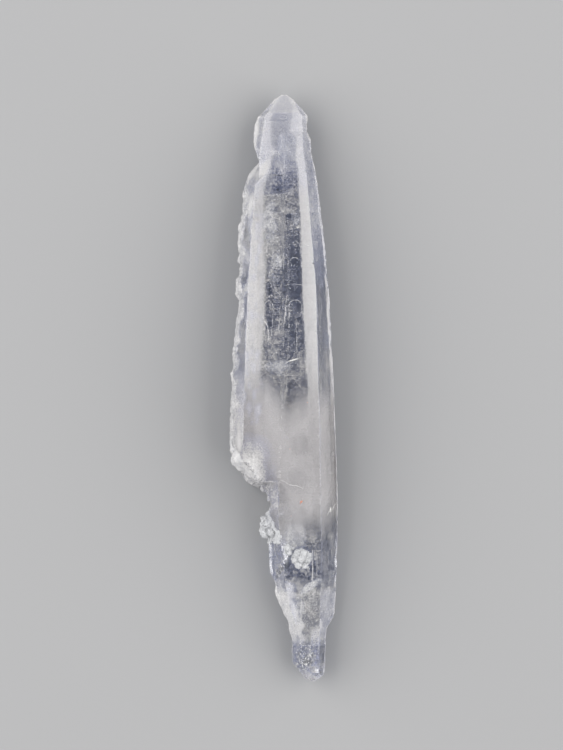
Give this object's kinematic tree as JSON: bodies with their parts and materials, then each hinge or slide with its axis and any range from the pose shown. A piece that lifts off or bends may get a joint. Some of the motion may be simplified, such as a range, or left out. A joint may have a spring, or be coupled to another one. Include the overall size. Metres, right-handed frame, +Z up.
{
  "type": "laser quartz point",
  "caption": "Long, slim, tapering natural quartz crystal, clear to milky, with a sharp six-sided tip and a healed base, lying on its flat back face.",
  "frame": {"origin": "under the middle of the crystal's box, on the surface that its flat back face lies on", "axes": "+Y along the crystal's long axis towards its sharp tip, +X to the right seen from above, +Z up out of the surface"},
  "size_m": [0.0184, 0.1, 0.0123],
  "materials": {
    "quartz": "clear to milky natural quartz: glossy growth faces with fine cross striations, frosted chipped edges"
  },
  "bodies": {
    "root": {"quartz_point": "quartz"}
  },
  "joints": []
}
